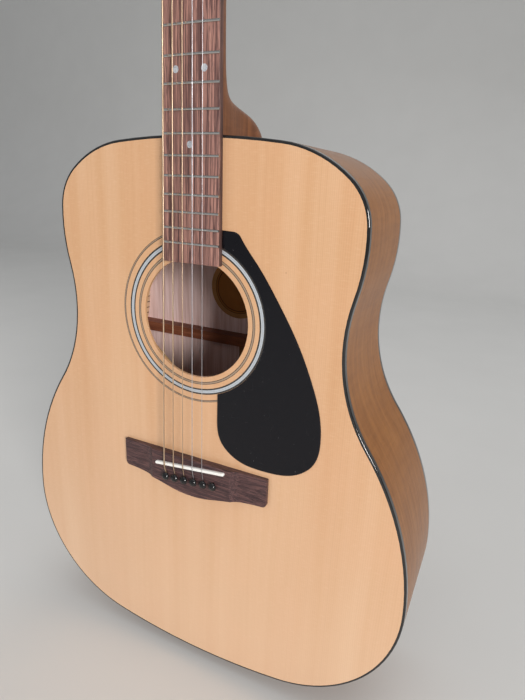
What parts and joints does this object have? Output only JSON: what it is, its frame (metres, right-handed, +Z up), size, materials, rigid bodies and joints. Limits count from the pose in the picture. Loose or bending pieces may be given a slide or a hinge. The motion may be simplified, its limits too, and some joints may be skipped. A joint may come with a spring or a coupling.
{
  "type": "acoustic guitar",
  "caption": "Steel-string flat-top acoustic guitar: braced hollow body with round soundhole, pickguard and pinned bridge, fretted neck, and geared tuners that turn.",
  "frame": {"origin": "middle of the strap button's outer face, the lowest point of the upright guitar", "axes": "+Z up the neck towards the headstock, the soundboard faces -Y, +X is the treble side"},
  "size_m": [0.4112, 0.1312, 1.0488],
  "materials": {
    "spruce": "glossy amber lacquer over straight fine grain",
    "rosette_inlay": "black and white inlaid lines under lacquer",
    "black_gloss_plastic": "polished black",
    "black_binding": "polished black",
    "rim_mahogany": "glossy lacquer over straight red-brown grain",
    "inner_wood": "bare wood",
    "brace_spruce": "bare spruce",
    "neck_mahogany": "satin",
    "head_veneer": "black lacquer",
    "rosewood": "oiled, open pores",
    "fret_nickel": "polished nickel silver",
    "pearl_dot": "pearl",
    "ivory_plastic": "polished white",
    "rod_steel": "plain steel",
    "tuner_chrome": "chrome plate",
    "string_bronze": "wound bronze",
    "string_steel": "plain steel",
    "paper_label": "blank tan paper"
  },
  "bodies": {
    "root": {"soundboard": "spruce", "rosette": "rosette_inlay", "pickguard": "black_gloss_plastic", "rim_bass": "rim_mahogany", "rim_treble": "rim_mahogany", "back_plate": "rim_mahogany", "top_binding": "black_binding", "back_binding": "black_binding", "neck_block": "inner_wood", "tail_block": "inner_wood", "top_linings": "inner_wood", "back_linings": "inner_wood", "x_brace_bass": "brace_spruce", "x_brace_treble": "brace_spruce", "upper_transverse_brace": "brace_spruce", "soundhole_braces": "brace_spruce", "tone_bars": "brace_spruce", "finger_braces": "brace_spruce", "bridge_plate": "rosewood", "back_braces": "inner_wood", "back_centre_strip": "inner_wood", "label": "paper_label", "neck": "neck_mahogany", "headstock_veneer": "head_veneer", "fingerboard": "rosewood", "frets": "fret_nickel", "position_dots": "pearl_dot", "side_dots": "pearl_dot", "nut": "ivory_plastic", "bridge": "rosewood", "saddle": "ivory_plastic", "truss_rod": "rod_steel", "strap_button": "black_gloss_plastic", "tuner_housings": "tuner_chrome", "tuner_bushings": "tuner_chrome", "tuner_screws": "tuner_chrome", "string_e_low": "string_bronze", "string_a": "string_bronze", "string_d": "string_bronze", "string_g": "string_steel", "string_b": "string_steel"},
    "tuner_knob_e_low": {"tuner_knob_e_low": "tuner_chrome"},
    "tuner_post_e_low": {"tuner_post_e_low": "tuner_chrome"},
    "bridge_pin_e_low": {"bridge_pin_e_low": "black_gloss_plastic"},
    "tuner_knob_a": {"tuner_knob_a": "tuner_chrome"},
    "tuner_post_a": {"tuner_post_a": "tuner_chrome"},
    "bridge_pin_a": {"bridge_pin_a": "black_gloss_plastic"},
    "tuner_knob_d": {"tuner_knob_d": "tuner_chrome"},
    "tuner_post_d": {"tuner_post_d": "tuner_chrome"},
    "bridge_pin_d": {"bridge_pin_d": "black_gloss_plastic"},
    "tuner_knob_g": {"tuner_knob_g": "tuner_chrome"},
    "tuner_post_g": {"tuner_post_g": "tuner_chrome"},
    "bridge_pin_g": {"bridge_pin_g": "black_gloss_plastic"},
    "tuner_knob_b": {"tuner_knob_b": "tuner_chrome"},
    "tuner_post_b": {"tuner_post_b": "tuner_chrome"},
    "bridge_pin_b": {"bridge_pin_b": "black_gloss_plastic"},
    "tuner_knob_e_high": {"tuner_knob_e_high": "tuner_chrome"},
    "tuner_post_e_high": {"tuner_post_e_high": "tuner_chrome"},
    "bridge_pin_e_high": {"bridge_pin_e_high": "black_gloss_plastic"},
    "truss_rod_nut": {"truss_rod_nut": "rod_steel"}
  },
  "joints": [
    {"name": "turn_knob_e_low", "type": "hinge", "parent": "root", "child": "tuner_knob_e_low", "pos_m": [-0.02004, -0.03181, 0.90275], "axis": [1, 0, 0], "continuous": true},
    {"name": "turn_post_e_low", "type": "hinge", "parent": "root", "child": "tuner_post_e_low", "pos_m": [-0.02004, -0.03479, 0.91148], "axis": [0, -0.9703, 0.2419], "continuous": true},
    {"name": "turn_knob_a", "type": "hinge", "parent": "root", "child": "tuner_knob_a", "pos_m": [-0.02167, -0.02189, 0.94253], "axis": [1, 0, 0], "continuous": true},
    {"name": "turn_post_a", "type": "hinge", "parent": "root", "child": "tuner_post_a", "pos_m": [-0.02167, -0.02487, 0.95126], "axis": [0, -0.9703, 0.2419], "continuous": true},
    {"name": "turn_knob_d", "type": "hinge", "parent": "root", "child": "tuner_knob_d", "pos_m": [-0.02329, -0.01197, 0.98231], "axis": [1, 0, 0], "continuous": true},
    {"name": "turn_post_d", "type": "hinge", "parent": "root", "child": "tuner_post_d", "pos_m": [-0.02329, -0.01495, 0.99104], "axis": [0, -0.9703, 0.2419], "continuous": true},
    {"name": "turn_knob_g", "type": "hinge", "parent": "root", "child": "tuner_knob_g", "pos_m": [0.02329, -0.01197, 0.98231], "axis": [1, 0, 0], "continuous": true},
    {"name": "turn_post_g", "type": "hinge", "parent": "root", "child": "tuner_post_g", "pos_m": [0.02329, -0.01495, 0.99104], "axis": [0, -0.9703, 0.2419], "continuous": true},
    {"name": "turn_knob_b", "type": "hinge", "parent": "root", "child": "tuner_knob_b", "pos_m": [0.02167, -0.02189, 0.94253], "axis": [1, 0, 0], "continuous": true},
    {"name": "turn_post_b", "type": "hinge", "parent": "root", "child": "tuner_post_b", "pos_m": [0.02167, -0.02487, 0.95126], "axis": [0, -0.9703, 0.2419], "continuous": true},
    {"name": "turn_knob_e_high", "type": "hinge", "parent": "root", "child": "tuner_knob_e_high", "pos_m": [0.02004, -0.03181, 0.90275], "axis": [1, 0, 0], "continuous": true},
    {"name": "turn_post_e_high", "type": "hinge", "parent": "root", "child": "tuner_post_e_high", "pos_m": [0.02004, -0.03479, 0.91148], "axis": [0, -0.9703, 0.2419], "continuous": true},
    {"name": "pull_pin_e_low", "type": "slide", "parent": "root", "child": "bridge_pin_e_low", "axis": [0, -1, 0], "range_m": [0, 0.03]},
    {"name": "pull_pin_a", "type": "slide", "parent": "root", "child": "bridge_pin_a", "axis": [0, -1, 0], "range_m": [0, 0.03]},
    {"name": "pull_pin_d", "type": "slide", "parent": "root", "child": "bridge_pin_d", "axis": [0, -1, 0], "range_m": [0, 0.03]},
    {"name": "pull_pin_g", "type": "slide", "parent": "root", "child": "bridge_pin_g", "axis": [0, -1, 0], "range_m": [0, 0.03]},
    {"name": "pull_pin_b", "type": "slide", "parent": "root", "child": "bridge_pin_b", "axis": [0, -1, 0], "range_m": [0, 0.03]},
    {"name": "pull_pin_e_high", "type": "slide", "parent": "root", "child": "bridge_pin_e_high", "axis": [0, -1, 0], "range_m": [0, 0.03]},
    {"name": "turn_truss_rod_nut", "type": "hinge", "parent": "root", "child": "truss_rod_nut", "pos_m": [0, -0.0515, 0.45577], "axis": [0, 0, 1], "range_deg": [-360, 360]}
  ],
  "couplings": [
    {"joint": "turn_post_e_low", "follows": "turn_knob_e_low", "ratio": 0.066667},
    {"joint": "turn_post_a", "follows": "turn_knob_a", "ratio": 0.066667},
    {"joint": "turn_post_d", "follows": "turn_knob_d", "ratio": 0.066667},
    {"joint": "turn_post_g", "follows": "turn_knob_g", "ratio": -0.066667},
    {"joint": "turn_post_b", "follows": "turn_knob_b", "ratio": -0.066667},
    {"joint": "turn_post_e_high", "follows": "turn_knob_e_high", "ratio": -0.066667}
  ]
}
